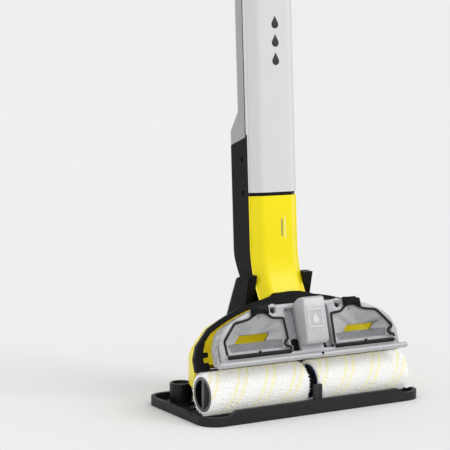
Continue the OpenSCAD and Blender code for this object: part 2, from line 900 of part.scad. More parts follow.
module tank_cap() {
  color(black) column_frame() translate([cap_at[0], cap_at[1], 0]) {
    translate([0, 0, fresh_top - 3]) cylinder(h = 6, r = 10 - run);
    difference() {
      translate([0, 0, fresh_top + 2.1]) cylinder(h = 6.4, r = 13);
      for (s = [-1, 1]) translate([s * 9 - 4, -15, fresh_top + 4.5]) cube([8, 30, 6]);
    }
  }
}

module upper_rear_cover() {
  low = fresh_top + 12;
  color(mid_grey) column_frame() difference() {
    translate([0, 0, low]) linear_extrude(column_top - low - 0.1) rear_plan(column_half, 5, fresh_y, 12);
    translate([0, 0, low + 2.2]) linear_extrude(column_top) rear_plan(column_half - 2.2, 4, fresh_y - 2.2, 10);
    rod_y(20, 40, [0, 524], 5);
  }
}

module battery_pack() {
  color([0.2, 0.35, 0.7]) column_frame() {
    for (x = [-1, 1]) translate([x * (cell_r + 0.4), 16, 430]) cylinder(h = 65, r = cell_r);
    translate([-12, 8, 432]) cube([24, 16, 61]);
    translate([-8, 10, 494]) cube([16, 12, 6]);
  }
}

module control_board() {
  color([0.1, 0.4, 0.2]) column_frame() {
    translate([-24, -9.5, 300]) cube([48, 1.6, 80]);
    for (i = [0 : 3]) translate([-18 + 10 * i, -8, 320]) cube([6, 3, 8]);
    translate([-10, -8, 345]) cube([20, 4, 14]);
  }
}

module water_pump() {
  color(steel) column_frame() {
    translate([0, 24, 62]) cylinder(h = 46, r = 12);
    rod_y(8, 14, [0, 86.5], 4);
    translate([-16, 22, 72]) cube([32, 4, 8]);
  }
}

module water_tube() {
  color([0.8, 0.8, 0.82]) column_frame() {
    translate([0, -3.4, 84]) cylinder(h = 118.5, r = 2.4);
    rod_y(-3.4, 8, [0, 86.5], 2.4);
    rod_y(-3.4, 0.6, [0, 200], 2.4);
  }
}

module charge_socket() {
  color(black) column_frame() difference() {
    rod_y(21.5, fresh_y - 0.2, [0, 524], 5);
    rod_y(24, fresh_y + 1, [0, 524], 3);
    translate([-6, 20, 529]) cube([12, 20, 5]);
  }
}

module socket_cover() {
  color(black) column_frame() {
    translate([-8, fresh_y + 0.4, 515]) cube([16, 1.5, 17.5]);
    rod_x(-8, 8, [fresh_y + 1.9, 532.4], 1.5);
    translate([-3, fresh_y + 1.5, 515.5]) cube([6, 1, 2]);
  }
}

module column_screws() {
  color(steel) column_frame() both_sides() for (z = [115.8, 157.7]) difference() {
    union() {
      rod_x(29, 30.8, [12, z], 2.9);
      rod_x(22, 29.5, [12, z], 1.5);
    }
    rod_x(30, 32, [12, z], 1.1);
  }
}

module handle_tube() {
  color(mid_grey) column_frame() translate([0, tube_y, 512]) difference() {
    cylinder(h = 453, r = tube_r);
    translate([0, 0, -1]) cylinder(h = 455, r = tube_r - 1.4);
  }
}

// Outline of the loop grip in the column's YZ plane
module loop_2d(r_low, r_high) {
  hull() {
    translate(loop_low) circle(r_low, $fn = 48);
    translate(loop_high) circle(r_high, $fn = 48);
  }
}

module grip_solid(x0, x1) {
  difference() {
    union() {
      along_x(x0, x1) difference() {
        loop_2d(34, 32);
        loop_2d(17, 17);
      }
      intersection() {
        translate([0, tube_y, 915]) cylinder(h = 52, r = 16);
        translate([x0, -50, 900]) cube([x1 - x0, 100, 100]);
      }
    }
    translate([0, tube_y, 900]) cylinder(h = 65, r = tube_r);
    translate([-7.3, -60, 982]) cube([14.6, 42, 32]);
  }
}

module grip_left() {
  color(black) column_frame() grip_solid(-13.5, 0);
}

module grip_right() {
  color(black) column_frame() grip_solid(0, 13.5);
}

module power_button() {
  color(yellow) column_frame() translate([0, -25.8, 998]) {
    translate([-7, 0, -15.5]) cube([14, 4, 31]);
    translate([-5, -1.5, -12]) cube([10, 2, 24]);
  }
}

station_tray();
station_pegs();
station_feet();
head_chassis();
bay_rim();
bay_liner();
head_shell();
drive_leg();
drive_leg_cover();
drive_motor();
spray_bars();
head_screws();
roll_pin();
wheel_axles();
idler_pin();
drive_shaft();
hub_gear();
motor_pinion();
idler_gear();
rear_wheel_left();
rear_wheel_right();
roller_core_left();
roller_sleeve_left();
roller_end_cap_left();
roller_drive_ring_left();
roller_core_right();
roller_sleeve_right();
roller_end_cap_right();
roller_drive_ring_right();
waste_tank_tub();
window_cover_left();
window_cover_right();
window_gasket_left();
window_gasket_right();
wiper_bar_left();
wiper_bar_right();
cover_latch_left();
cover_latch_right();
tank_grip();
yoke();
tilt_pins();
column_spine();
lower_front_shell();
seam_band();
upper_front_shell();
lower_rear_housing();
upper_rear_cover();
battery_pack();
control_board();
water_pump();
water_tube();
charge_socket();
socket_cover();
column_screws();
handle_tube();
grip_left();
grip_right();
power_button();
fresh_tank();
tank_cap();
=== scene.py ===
import json
import math
import random
import bpy
import bmesh
from mathutils import Matrix, Vector


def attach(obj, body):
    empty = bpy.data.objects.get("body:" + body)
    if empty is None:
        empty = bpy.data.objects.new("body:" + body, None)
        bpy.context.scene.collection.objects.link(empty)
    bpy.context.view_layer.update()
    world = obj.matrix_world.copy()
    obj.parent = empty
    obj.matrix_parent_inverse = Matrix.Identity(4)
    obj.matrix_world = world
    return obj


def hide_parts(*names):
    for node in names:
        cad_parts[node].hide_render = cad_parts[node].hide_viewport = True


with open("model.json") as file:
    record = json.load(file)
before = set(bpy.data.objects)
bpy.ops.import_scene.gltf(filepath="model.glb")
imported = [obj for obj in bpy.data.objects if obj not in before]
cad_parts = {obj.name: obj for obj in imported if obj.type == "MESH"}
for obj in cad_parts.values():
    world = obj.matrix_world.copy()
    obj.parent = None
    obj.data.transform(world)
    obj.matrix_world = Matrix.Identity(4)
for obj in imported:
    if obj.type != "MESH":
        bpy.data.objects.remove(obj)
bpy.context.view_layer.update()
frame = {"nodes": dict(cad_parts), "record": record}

NODE = frame["nodes"]
BODY = {n: b for b, names in frame["record"]["behaviour"]["bodies"].items() for n in names}
SLOT = {s["node"]: s["material_slot"] for s in frame["record"]["subparts"]}
MM = 0.001

# in metres: the tank's own frame (x across, y up the face, z out of the bay) and the column's frame
BAY = Matrix.Translation((0, -0.0597, 0.09)) @ Matrix.Rotation(math.radians(69.5), 4, "X")
COL = Matrix.Translation((0, 0.03, 0.148)) @ Matrix.Rotation(math.radians(-3.13), 4, "X")
# lengths are in millimetres from here on: the rollers' axis, and the sign of x on each side
ROLL_Y, ROLL_Z = -42.5, 32.6
HAND_SIGN = {"left": -1, "right": 1}
HANDS = ("left", "right")

# ------------------------------------------------------------------ materials


def link(nt, a, b):
    nt.links.new(a, b)


def math_node(nt, op, a, b=None, clamp=False):
    n = nt.nodes.new("ShaderNodeMath")
    n.operation = op
    n.use_clamp = clamp
    for i, v in enumerate((a, b)):
        if v is None:
            continue
        if isinstance(v, (int, float)):
            n.inputs[i].default_value = v
        else:
            link(nt, v, n.inputs[i])
    return n.outputs[0]


def times(nt, a, b):
    return math_node(nt, "MULTIPLY", a, b)


def remap(nt, value, a, b, c, d):
    """Maps a..b to c..d, held at both ends."""
    n = nt.nodes.new("ShaderNodeMapRange")
    link(nt, value, n.inputs["Value"])
    for key, v in zip(("From Min", "From Max", "To Min", "To Max"), (a, b, c, d)):
        n.inputs[key].default_value = v
    return n.outputs["Result"]


def mix(nt, fac, a, b, blend="MIX"):
    n = nt.nodes.new("ShaderNodeMix")
    n.data_type = "RGBA"
    n.blend_type = blend
    fac_in, a_in, b_in = n.inputs[0], n.inputs[6], n.inputs[7]
    for s, v in ((fac_in, fac), (a_in, a), (b_in, b)):
        if isinstance(v, (int, float)):
            s.default_value = v
        elif isinstance(v, tuple):
            s.default_value = (*v[:3], 1)
        else:
            link(nt, v, s)
    return n.outputs[2]


def noise_at(nt, coord, size_mm, detail=3.0, rough=0.55, stretch=None):
    if stretch:
        m = nt.nodes.new("ShaderNodeMapping")
        m.inputs["Scale"].default_value = stretch
        link(nt, coord, m.inputs["Vector"])
        coord = m.outputs[0]
    n = nt.nodes.new("ShaderNodeTexNoise")
    n.inputs["Scale"].default_value = 1000.0 / size_mm
    n.inputs["Detail"].default_value = detail
    n.inputs["Roughness"].default_value = rough
    link(nt, coord, n.inputs["Vector"])
    return n.outputs["Fac"]


# sizes in millimetres of the patterns that all surfaces share, the colour of dust, and the depth of the
# bump in metres
SCRATCH_MM, SCRATCH_PATCH_MM, EDGE_PATCH_MM, DUST_PATCH_MM = 1.1, 34, 6, 11
DUST_COLOR = (0.52, 0.5, 0.47)
BUMP_DEPTH = 0.00025


def tint(c, k):
    return tuple(min(1.0, v * k) for v in c)


def surface(
    name,
    color,
    rough=0.4,
    metallic=0.0,
    mottle=0.04,
    mottle_mm=22,
    grain=0.1,
    grain_mm=0.7,
    spread=0.06,
    scratch=0.2,
    scratch_dir=(1, 1, 0.06),
    edge=0.3,
    edge_color=None,
    dust=0.1,
    coat=0.0,
    transmission=0.0,
    ior=1.46,
    sheen=0.0,
    specular=0.5,
    attribute=None,
    subsurface=0.0,
    painted_glow=0.0,
):
    """Moulded or metal surface: mottled colour, fine grain, hair scratches, rubbed edges, a little dust,
    and an optional painted glow that stands in for light.
    """
    material = bpy.data.materials.new(name)
    material.use_nodes = True
    tree = material.node_tree
    shader = tree.nodes["Principled BSDF"]
    coords = tree.nodes.new("ShaderNodeTexCoord").outputs["Object"]
    geometry = tree.nodes.new("ShaderNodeNewGeometry")
    broad = remap(tree, noise_at(tree, coords, mottle_mm, 4), 0.32, 0.68, 0, 1)
    if attribute:
        painted = tree.nodes.new("ShaderNodeAttribute")
        painted.attribute_name = attribute
        darker = mix(tree, 1.0, painted.outputs["Color"], tuple([1 - mottle] * 3), "MULTIPLY")
        base = mix(tree, broad, darker, painted.outputs["Color"])
    else:
        base = mix(tree, broad, tint(color, 1 - mottle), tint(color, 1 + mottle))
    fine = noise_at(tree, coords, grain_mm, 2)
    base = mix(tree, remap(tree, fine, 0.35, 0.65, 0.0, 0.06 + mottle * 0.5), base, tint(color, 0.82))
    line = noise_at(tree, coords, SCRATCH_MM, 6, 0.7, scratch_dir)
    hair = remap(tree, line, 0.63, 0.67, 0, 1)
    patch = remap(tree, noise_at(tree, coords, SCRATCH_PATCH_MM, 3), 0.45, 0.62, 0, 1)
    hair = times(tree, hair, times(tree, patch, scratch))
    pale = edge_color or tuple(v + (1 - v) * 0.25 for v in color)
    base = mix(tree, times(tree, hair, 0.5), base, pale)
    if edge:
        rubbed = remap(tree, geometry.outputs["Pointiness"], 0.515, 0.60, 0, edge)
        patch = remap(tree, noise_at(tree, coords, EDGE_PATCH_MM, 4), 0.38, 0.6, 0.2, 1)
        rubbed = math_node(tree, "MULTIPLY", rubbed, patch, True)
        base = mix(tree, rubbed, base, pale)
    if dust:
        up = tree.nodes.new("ShaderNodeSeparateXYZ")
        link(tree, geometry.outputs["Normal"], up.inputs[0])
        settled = remap(tree, up.outputs["Z"], 0.2, 1.0, 0, dust)
        patch = remap(tree, noise_at(tree, coords, DUST_PATCH_MM, 6, 0.7), 0.42, 0.66, 0, 1)
        settled = times(tree, settled, patch)
        base = mix(tree, settled, base, DUST_COLOR)
    link(tree, base, shader.inputs["Base Color"])
    uneven = noise_at(tree, coords, mottle_mm * 0.6, 5)
    roughness = remap(tree, uneven, 0.3, 0.7, max(0.03, rough - spread), min(1, rough + spread))
    roughness = math_node(tree, "ADD", roughness, times(tree, hair, 0.25), True)
    link(tree, roughness, shader.inputs["Roughness"])
    height = math_node(tree, "ADD", times(tree, fine, grain), times(tree, hair, -0.35))
    bump = tree.nodes.new("ShaderNodeBump")
    bump.inputs["Strength"].default_value = 0.6
    bump.inputs["Distance"].default_value = BUMP_DEPTH
    link(tree, height, bump.inputs["Height"])
    link(tree, bump.outputs[0], shader.inputs["Normal"])
    shader.inputs["Metallic"].default_value = metallic
    shader.inputs["IOR"].default_value = ior
    shader.inputs["Specular IOR Level"].default_value = specular
    shader.inputs["Coat Weight"].default_value = coat
    shader.inputs["Coat Roughness"].default_value = 0.12
    shader.inputs["Transmission Weight"].default_value = transmission
    shader.inputs["Sheen Weight"].default_value = sheen
    shader.inputs["Sheen Roughness"].default_value = 0.5
    shader.inputs["Subsurface Weight"].default_value = subsurface
    shader.inputs["Subsurface Radius"].default_value = (1, 1, 0.8)
    shader.inputs["Subsurface Scale"].default_value = 0.003
    if painted_glow:
        # painted glow: emission that lifts the shade on the liner and between the pile's tufts, standing in
        # for light that comes through thin moulded walls and loose pile
        shader.inputs["Emission Color"].default_value = (*color, 1)
        shader.inputs["Emission Strength"].default_value = painted_glow
    return material


# one material for each material slot of the record
M = {
    "tray_black": surface("tray_black", (0.019, 0.0193, 0.0205), 0.5, grain=0.7, grain_mm=0.55, dust=0.0,
        scratch=0.15, edge=0.08, mottle=0.05, specular=0.2),
    "peg_black": surface("peg_black", (0.008, 0.008, 0.0085), 0.3, grain=0.12, dust=0.0, mottle=0.05,
        specular=0.3, edge=0.08),
    "rubber_black": surface("rubber_black", (0.009, 0.009, 0.0095), 0.6, grain=0.5, grain_mm=0.4,
        dust=0.0, scratch=0.1, mottle=0.12, specular=0.25, edge=0.1),
    "chassis_black": surface("chassis_black", (0.006, 0.006, 0.0065), 0.46, grain=0.6, grain_mm=0.5,
        dust=0.0, scratch=0.1, mottle=0.05, specular=0.08, edge=0.06),
    "trim_black": surface("trim_black", (0.006, 0.006, 0.0065), 0.42, grain=0.5, grain_mm=0.45, dust=0.0,
        mottle=0.05, scratch=0.1, specular=0.08, edge=0.06),
    "yellow": surface("yellow", (0.925, 0.775, 0.0), 0.34, grain=0.05, dust=0.02, mottle=0.018, coat=0.08,
        edge=0.08, scratch=0.2, specular=0.3),
    "steel": surface("steel", (0.56, 0.57, 0.59), 0.26, 1.0, grain=0.2, scratch=0.6,
        scratch_dir=(0.05, 1, 1), dust=0.04),
    "gear_white": surface("gear_white", (0.78, 0.78, 0.74), 0.42, grain=0.1, subsurface=0.1),
    "brass": surface("brass", (0.74, 0.55, 0.24), 0.25, 1.0, grain=0.15, scratch=0.6, dust=0.02),
    "rubber_grey": surface("rubber_grey", (0.06, 0.06, 0.062), 0.6, grain=0.5, grain_mm=0.4),
    "core_grey": surface("core_grey", (0.03, 0.03, 0.032), 0.45, grain=0.4, specular=0.3),
    # the pile's glow is painted light that lifts the shade between its tufts
    "pile": surface("pile", (0.9, 0.9, 0.87), 0.9, mottle=0.01, mottle_mm=9, grain=0.2, grain_mm=0.5,
        scratch=0, edge=0, dust=0, sheen=0.5, specular=0.1, attribute="tone", subsurface=0.75, painted_glow=0.13),
    "cap_grey": surface("cap_grey", (0.115, 0.117, 0.12), 0.4, grain=0.5, grain_mm=0.5, mottle=0.08,
        dust=0.03, specular=0.35),
    "coupling_blue": surface("coupling_blue", (0.008, 0.026, 0.20), 0.36, grain=0.2, specular=0.35),
    "tank_clear": surface("tank_clear", (0.46, 0.462, 0.482), 0.22, mottle=0.012, grain=0.05,
        transmission=0.1, ior=1.49, coat=0.25, dust=0.0, scratch=0.15, edge=0.55,
        edge_color=(0.84, 0.845, 0.86)),
    "silver": surface("silver", (0.672, 0.677, 0.684), 0.34, mottle=0.006, grain=0.08, grain_mm=0.3,
        coat=0.1, dust=0.0, scratch=0.15, edge=0.06, spread=0.03),
    "rear_grey": surface("rear_grey", (0.50, 0.503, 0.508), 0.36, mottle=0.012, grain=0.12, grain_mm=0.4,
        dust=0.02, scratch=0.2),
    "battery_wrap": surface("battery_wrap", (0.03, 0.09, 0.42), 0.28, grain=0.1, coat=0.3),
    "board_green": surface("board_green", (0.015, 0.14, 0.05), 0.4, grain=0.3),
    "tube_clear": surface("tube_clear", (0.72, 0.73, 0.74), 0.18, transmission=0.5, ior=1.41, grain=0.05),
    "tube_metal": surface("tube_metal", (0.60, 0.61, 0.63), 0.3, 0.85, grain=0.25, grain_mm=0.3,
        scratch=0.6),
    "button_yellow": surface("button_yellow", (0.925, 0.775, 0.0), 0.36, grain=0.1, specular=0.3),
    "fresh_grey": surface("fresh_grey", (0.42, 0.425, 0.44), 0.24, mottle=0.03, grain=0.06,
        transmission=0.2, ior=1.49, coat=0.2, dust=0.04),
}
# looks of details that differ from the slot they are filed under
EXTRA = {
    # liner yellow with a painted glow that lifts the shade the liner lies in
    "liner_yellow_painted_glow": surface("liner_yellow_painted_glow", (0.925, 0.76, 0.02), 0.34, grain=0.05, dust=0.0, mottle=0.018,
        coat=0.08, edge=0.08, scratch=0.2, specular=0.3, painted_glow=0.14),
    "funnel_light": surface("funnel_light", (0.47, 0.472, 0.485), 0.26, mottle=0.01, grain=0.05, ior=1.49,
        coat=0.25, dust=0.0, edge=0.3, scratch=0.1),
    # darker copy of the funnel grey: painted shade for the dish's lower slope, and also the studs' own grey
    "stud_grey_and_funnel_painted_shade": surface("stud_grey_and_funnel_painted_shade", (0.235, 0.237, 0.25), 0.28, mottle=0.01, grain=0.05, ior=1.49,
        coat=0.2, dust=0.0, edge=0.3, scratch=0.1),
    # darker copy of the tank's grey: painted shade in the recessed channel beside the grip
    "tank_recess_painted_shade": surface("tank_recess_painted_shade", (0.42, 0.422, 0.44), 0.26, mottle=0.015, grain=0.05,
        transmission=0.05, ior=1.49, coat=0.25, dust=0.0, edge=0.4),
    "tank_pale": surface("tank_pale", (0.56, 0.563, 0.58), 0.2, mottle=0.025, grain=0.05,
        transmission=0.15, ior=1.49, coat=0.3, dust=0.01, edge=0.5, edge_color=(0.86, 0.87, 0.88)),
    "print_white": surface("print_white", (0.66, 0.665, 0.68), 0.3, grain=0.1, dust=0, edge=0,
        scratch=0.1, coat=0.2),
    "print_dark": surface("print_dark", (0.022, 0.022, 0.024), 0.5, grain=0.15, dust=0, edge=0,
        scratch=0.1),
    "print_grey": surface("print_grey", (0.30, 0.28, 0.13), 0.5, grain=0.15, dust=0, edge=0, scratch=0.1),
    "print_pale": surface("print_pale", (0.92, 0.88, 0.5), 0.45, grain=0.15, dust=0, edge=0, scratch=0.1),
    # near-black matte: painted shade in the end caps' grip wells, the pocket beside the grip and the pits
    # near the middle
    "hollow_painted_shade": surface("hollow_painted_shade", (0.006, 0.006, 0.006), 0.7, grain=0.3, dust=0, edge=0,
        scratch=0.1, specular=0.1),
}

# ------------------------------------------------------------------ mesh helpers


def add_object(name, me, mat, body, slot=None, matrix=None, sharp=35, replaces=()):
    o = bpy.data.objects.new(name, me)
    bpy.context.scene.collection.objects.link(o)
    if matrix is not None:
        me.transform(matrix)
    me.materials.clear()
    me.materials.append(mat)
    me.shade_smooth()
    me.set_sharp_from_angle(angle=math.radians(sharp))
    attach(o, body)
    if replaces:
        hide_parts(*replaces)
    return o


def face_outwards(me, merge=0.0):
    """Joins vertices closer than merge metres and turns the faces outwards."""
    bm = bmesh.new()
    bm.from_mesh(me)
    if merge:
        bmesh.ops.remove_doubles(bm, verts=bm.verts, dist=merge)
    bmesh.ops.recalc_face_normals(bm, faces=bm.faces)
    bm.to_mesh(me)
    bm.free()


def raw_mesh(name, verts, faces):
    """Mesh from points in millimetres."""
    me = bpy.data.meshes.new(name)
    me.from_pydata([tuple(c * MM for c in v) for v in verts], [], faces)
    return me


def from_pydata(name, verts, faces):
    me = raw_mesh(name, verts, faces)
    me.validate()
    face_outwards(me)
    return me


def bevelled(o, width, segs=2, angle=30, clamp=True):
    m = o.modifiers.new("round", "BEVEL")
    m.width = width * MM
    m.segments = segs
    m.limit_method = "ANGLE"
    m.angle_limit = math.radians(angle)
    m.use_clamp_overlap = clamp
    m.harden_normals = True
    m.miter_outer = "MITER_ARC"


# vertices of a CAD node closer than this (in metres) are one, and faces closer in angle than this are flat
SAME_POINT, SAME_FACE = 2e-6, math.radians(0.6)


def refine(node, width, segs, mat=None, sharp=38):
    """The CAD node's own shape with its flat faces merged and its edges rounded."""
    me = NODE[node].data.copy()
    bm = bmesh.new()
    bm.from_mesh(me)
    bmesh.ops.remove_doubles(bm, verts=bm.verts, dist=SAME_POINT)
    bmesh.ops.dissolve_limit(bm, angle_limit=SAME_FACE, use_dissolve_boundaries=False, verts=bm.verts,
        edges=bm.edges)
    bm.to_mesh(me)
    bm.free()
    o = add_object(node + "_skin", me, mat or M[SLOT[node]], BODY[node], SLOT[node], sharp=sharp,
        replaces=(node,))
    bevelled(o, width, segs, 32)


def add_spline(cu, pts, cyclic):
    sp = cu.splines.new("POLY")
    sp.points.add(len(pts) - 1)
    for i, p in enumerate(pts):
        sp.points[i].co = (*(c * MM for c in p), 1)
    sp.use_cyclic_u = cyclic


def curve_mesh(name, cu):
    """The curve turned into a mesh; the curve itself is removed."""
    tmp = bpy.data.objects.new(name + "_t", cu)
    bpy.context.scene.collection.objects.link(tmp)
    dg = bpy.context.evaluated_depsgraph_get()
    me = bpy.data.meshes.new_from_object(tmp.evaluated_get(dg))
    bpy.data.objects.remove(tmp)
    bpy.data.curves.remove(cu)
    me.name = name
    return me


def plate(name, loops, z0, z1, radius, mat, body, slot=None, matrix=None, res=3, replaces=()):
    """Flat plate with rounded edges between z0 and z1: an outline and, after it, any holes."""
    cu = bpy.data.curves.new(name + "_c", "CURVE")
    cu.dimensions = "2D"
    cu.fill_mode = "BOTH"
    for pts in loops:
        add_spline(cu, [(x, y, 0) for x, y in pts], True)
    cu.extrude = max(0.0, (z1 - z0) / 2 - radius) * MM
    cu.bevel_depth = radius * MM
    cu.bevel_resolution = res
    cu.offset = -radius * MM
    me = curve_mesh(name, cu)
    face_outwards(me, 1e-6)
    me.transform(Matrix.Translation((0, 0, (z0 + z1) / 2 * MM)))
    return add_object(name, me, mat, body, slot, matrix, 35, replaces)


def cord_mesh(name, pts, radius, mat, body, slot=None, matrix=None, res=2, replaces=()):
    """Round cord, or a round pin when there are two points, with closed ends."""
    cu = bpy.data.curves.new(name + "_c", "CURVE")
    cu.dimensions = "3D"
    add_spline(cu, pts, False)
    cu.bevel_depth = radius * MM
    cu.bevel_resolution = res
    cu.use_fill_caps = True
    return add_object(name, curve_mesh(name, cu), mat, body, slot, matrix, 50, replaces)


def prism(name, outline, x0, x1, mat, body, slot=None, matrix=None, width=0.5, segs=3, replaces=(),
    taper=None):
    """Outline in YZ run along X from x0 to x1, with rounded edges."""
    n = len(outline)
    verts = [(x0, y, z) for y, z in outline] + [(x1, y, z) for y, z in outline]
    if taper:
        verts = [(x * taper(y, z), y, z) for x, y, z in verts]
    faces = [tuple(range(n)), tuple(range(2 * n - 1, n - 1, -1))]
    faces += [(i, (i + 1) % n, n + (i + 1) % n, n + i) for i in range(n)]
    o = add_object(name, from_pydata(name, verts, faces), mat, body, slot, matrix, 35, replaces)
    bevelled(o, width, segs, 25, False)


def turned(name, profile, seg, mat, hand, slot):
    """Ring whose closed profile of (along, radius) pairs is turned about the rollers' axis."""
    sx = HAND_SIGN[hand]
    n = len(profile)
    verts, faces = [], []
    for k in range(seg):
        a = 2 * math.pi * k / seg
        for along, radius in profile:
            verts.append((sx * along, ROLL_Y - radius * math.cos(a), ROLL_Z + radius * math.sin(a)))
    for k in range(seg):
        after = (k + 1) % seg
        for i in range(n):
            j = (i + 1) % n
            faces.append((k * n + i, k * n + j, after * n + j, after * n + i))
    return add_object(name, from_pydata(name, verts, faces), mat, "roller_" + hand, slot, None, 40)


def bend(start, corner, end, f):
    """The point at f on the smooth curve from start to end that leans towards corner."""
    return start * (1 - f) ** 2 + corner * 2 * f * (1 - f) + end * f * f


def fillet(pts, r, steps=4):
    """Closed outline with its corners rounded by up to r millimetres; r is one number or one per corner."""
    out, n = [], len(pts)
    for i in range(n):
        p0, p1, p2 = Vector(pts[i - 1]), Vector(pts[i]), Vector(pts[(i + 1) % n])
        a, b = p0 - p1, p2 - p1
        la, lb = a.length, b.length
        ri = r[i] if isinstance(r, (list, tuple)) else r
        ang = a.angle(b, math.pi)
        if ri <= 0 or ang > math.radians(176) or la < 1e-6 or lb < 1e-6:
            out.append(tuple(p1))
            continue
        t = min(ri / math.tan(ang / 2), la * 0.48, lb * 0.48)
        s, e = p1 + a / la * t, p1 + b / lb * t
        out += [tuple(bend(s, p1, e, k / steps)) for k in range(steps + 1)]
    return out


def mirrored(pts):
    return [(-x, y) for x, y in reversed(pts)]


def arc(c, r, a0, a1, n):
    """Points on an arc round c, from a0 to a1 degrees."""
    turns = [math.radians(a0 + (a1 - a0) * i / n) for i in range(n + 1)]
    return [(c[0] + r * math.cos(t), c[1] + r * math.sin(t)) for t in turns]


# how far the centre of the arches' big arc lies below the bay's origin, and how the corner above each
# upright side is cut
ARC_DROP = 191.7
ARC_SEARCH, ARC_POINTS = 1000, 36
CORNER_TURN, CORNER_EASE = math.radians(22.5), 3.5


def corner_reach(p):
    """How far a point lies towards the cut corner."""
    return p[0] * math.cos(CORNER_TURN) + p[1] * math.sin(CORNER_TURN)


def arch(half, arc_r, shoulder, base, top):
    """The tank's and rim's arched outline, counter-clockwise from the lower right corner."""
    y_side = shoulder - half
    right = [(half, base), (half, y_side)]
    # the arc is below the 45 degree shoulder inwards of the point where they meet
    for k in range(ARC_SEARCH):
        meet = half - half * k / ARC_SEARCH
        if math.sqrt(arc_r ** 2 - meet ** 2) - ARC_DROP <= shoulder - meet:
            break
    for k in range(ARC_POINTS):
        x = meet - meet * k / ARC_POINTS
        y = math.sqrt(arc_r ** 2 - x ** 2) - ARC_DROP
        if y > top:
            break
        right.append((x, y))
    right.append((math.sqrt(arc_r ** 2 - (top + ARC_DROP) ** 2), top))
    limit = corner_reach((half, y_side)) - CORNER_EASE
    eased = []
    for k, p in enumerate(right):
        if corner_reach(p) <= limit:
            eased.append(p)
            continue
        for q in ([right[k - 1]] if k else []) + [right[k + 1]]:
            if corner_reach(q) < limit:
                f = (corner_reach(p) - limit) / (corner_reach(p) - corner_reach(q))
                eased.append((p[0] + (q[0] - p[0]) * f, p[1] + (q[1] - p[1]) * f))
    return eased + mirrored(eased)


# ------------------------------------------------------------------ station and head

refine("station_tray", 1.1, 3)
refine("station_pegs", 1.0, 3)
refine("station_feet", 0.3, 2)
refine("head_chassis", 0.4, 2)
refine("bay_rim", 0.8, 3)
# the liner's glow is painted light that lifts the shade it lies in
refine("bay_liner", 0.4, 2, EXTRA["liner_yellow_painted_glow"])
refine("head_shell", 1.4, 3, sharp=30)
for part in ("drive_leg", "drive_leg_cover"):
    refine(part, 0.4, 2)
for part in ("drive_motor", "spray_bars", "head_screws", "roll_pin", "wheel_axles", "idler_pin",
    "drive_shaft"):
    refine(part, 0.3, 2)
for part in ("hub_gear", "idler_gear", "motor_pinion"):
    refine(part, 0.08, 1)
for part in ("rear_wheel_left", "rear_wheel_right"):
    refine(part, 0.6, 3)
refine("yoke", 0.9, 3)
refine("tilt_pins", 0.3, 2)

# ------------------------------------------------------------------ rollers


# stripes: their pitch, how far they run on in one turn, where they start, where the two in each pitch lie
# and half their width
STRIPE_PITCH, STRIPE_LEAD, STRIPE_HALF = 40.0, 85.0, 1.1
STRIPE_FIRST = {"left": -77.0, "right": 40.0}
STRIPE_AT = (1.5, 12.5, 1.5 + STRIPE_PITCH)
# pile: its inner and outer ends along x, the radius that its tufts stand on and the radius of its core
PILE_IN, PILE_OUT, PILE_R, PILE_CORE = 6.5, 145.0, 24.4, 21.05
PILE_ROWS, PILE_SEG = 60, 96
TUFT_ROWS, TUFT_PITCH, TUFT_SPLAY, THIRD_TURN = 92, 1.4, 2.5, 2.0944


def stripe(x, phi, first):
    """How yellow the pile is at x along the roller and phi degrees round it (0 is in front, 90 on top)."""
    phi = (phi + 180.0) % 360.0 - 180.0
    run = (x - first - STRIPE_LEAD * phi / 360.0) % STRIPE_PITCH
    d = min(abs(run - at) for at in STRIPE_AT)
    return max(0.0, 1.0 - max(0.0, d - STRIPE_HALF) / STRIPE_HALF)


